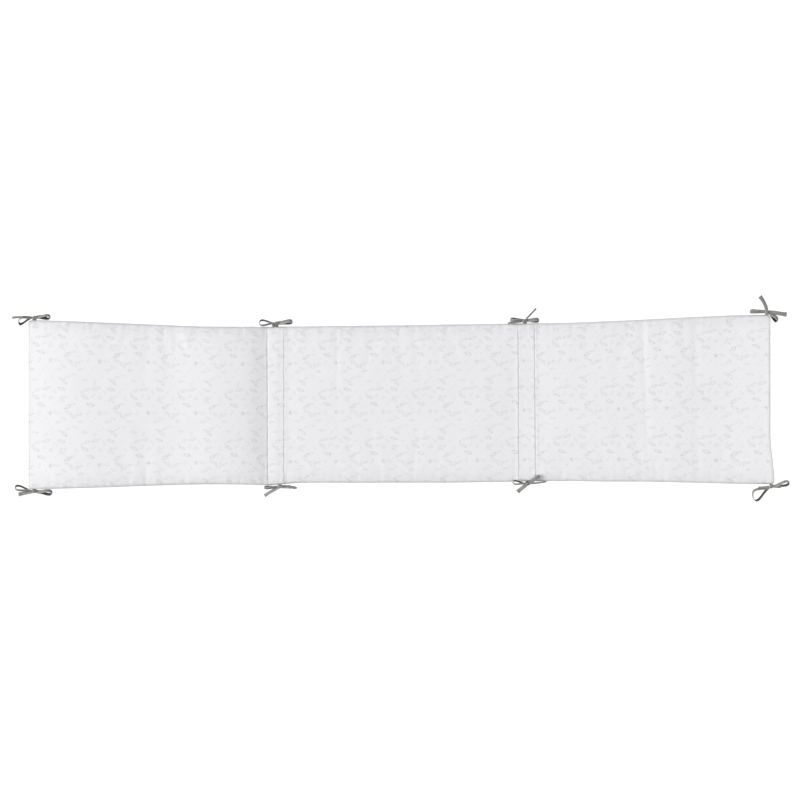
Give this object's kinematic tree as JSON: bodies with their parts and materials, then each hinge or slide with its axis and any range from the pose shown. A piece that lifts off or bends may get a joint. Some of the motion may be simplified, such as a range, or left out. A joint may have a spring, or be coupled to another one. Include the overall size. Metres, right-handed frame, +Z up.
{
  "type": "padded cot bumper with tape ties",
  "caption": "Long low padded cot bumper lying face up: filled cotton panels joined by flat sewn fold strips, with grey tape ties in bows along both long edges.",
  "frame": {"origin": "on the flat underside of the middle panel, where the long centre line crosses the middle of the length", "axes": "+X along the length, to the right as seen from above, +Y to the top edge, +Z up out of the printed face"},
  "size_m": [1.8819, 0.4979, 0.0279],
  "materials": {
    "cotton_print": "matt plain-weave cotton with a faint pale grey leaf print",
    "grey_tape": "matt folded cotton tape"
  },
  "bodies": {
    "root": {"bumper_pad": "cotton_print", "tie_top_1": "grey_tape", "tie_top_2": "grey_tape", "tie_top_3": "grey_tape", "tie_top_4": "grey_tape", "tie_bottom_1": "grey_tape", "tie_bottom_2": "grey_tape", "tie_bottom_3": "grey_tape", "tie_bottom_4": "grey_tape"}
  },
  "joints": []
}
